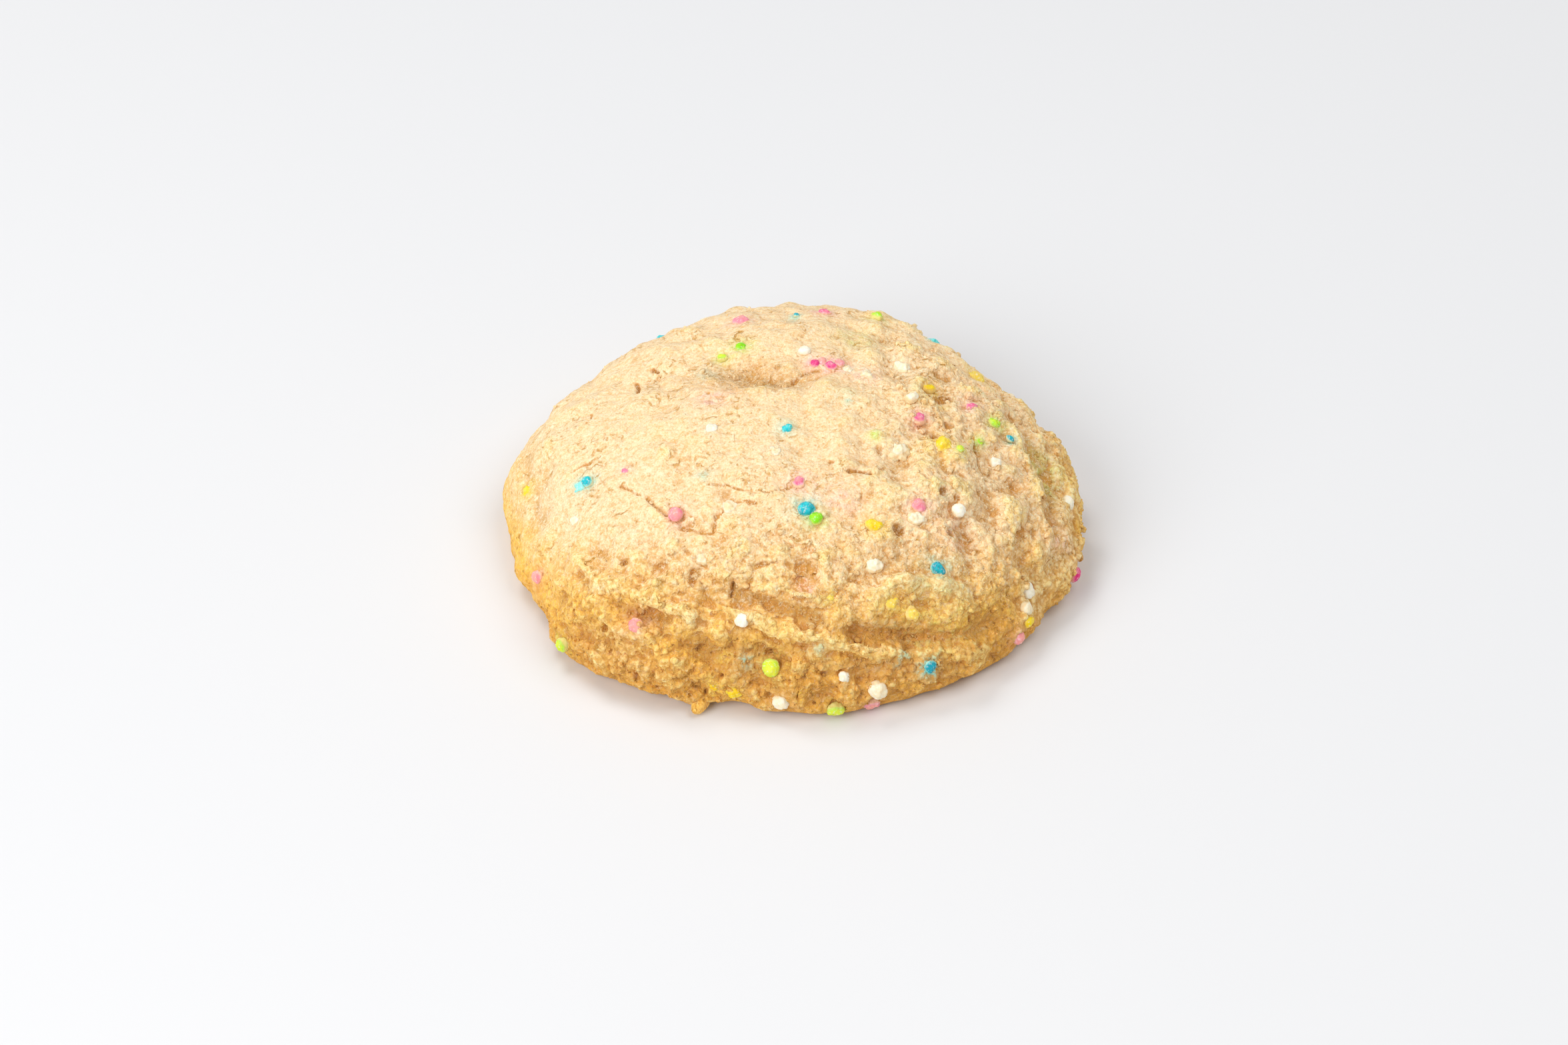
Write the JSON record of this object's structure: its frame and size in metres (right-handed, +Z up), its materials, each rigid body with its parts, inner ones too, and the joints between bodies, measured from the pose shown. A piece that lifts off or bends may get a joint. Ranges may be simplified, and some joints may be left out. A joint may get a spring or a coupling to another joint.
{
  "type": "confetti sugar cookie",
  "caption": "Thick round sugar cookie with a low domed top, a folded crumbly skirt, a flat underside and coloured nonpareils baked into its skin.",
  "frame": {"origin": "middle of the flat underside, at the level of what the cookie lies on", "axes": "+Z up through the domed top, +X to the right and +Y to the back as the folded side of the skirt faces the viewer"},
  "size_m": [0.0758, 0.0734, 0.0229],
  "materials": {
    "baked_dough": "matt, crumbly baked dough, pale golden with a browner rim and underside",
    "white_nonpareil": "satin sugar bead",
    "pink_nonpareil": "satin sugar bead",
    "turquoise_nonpareil": "satin sugar bead",
    "green_nonpareil": "satin sugar bead",
    "yellow_nonpareil": "satin sugar bead"
  },
  "bodies": {
    "root": {"cookie": "baked_dough"}
  },
  "joints": []
}
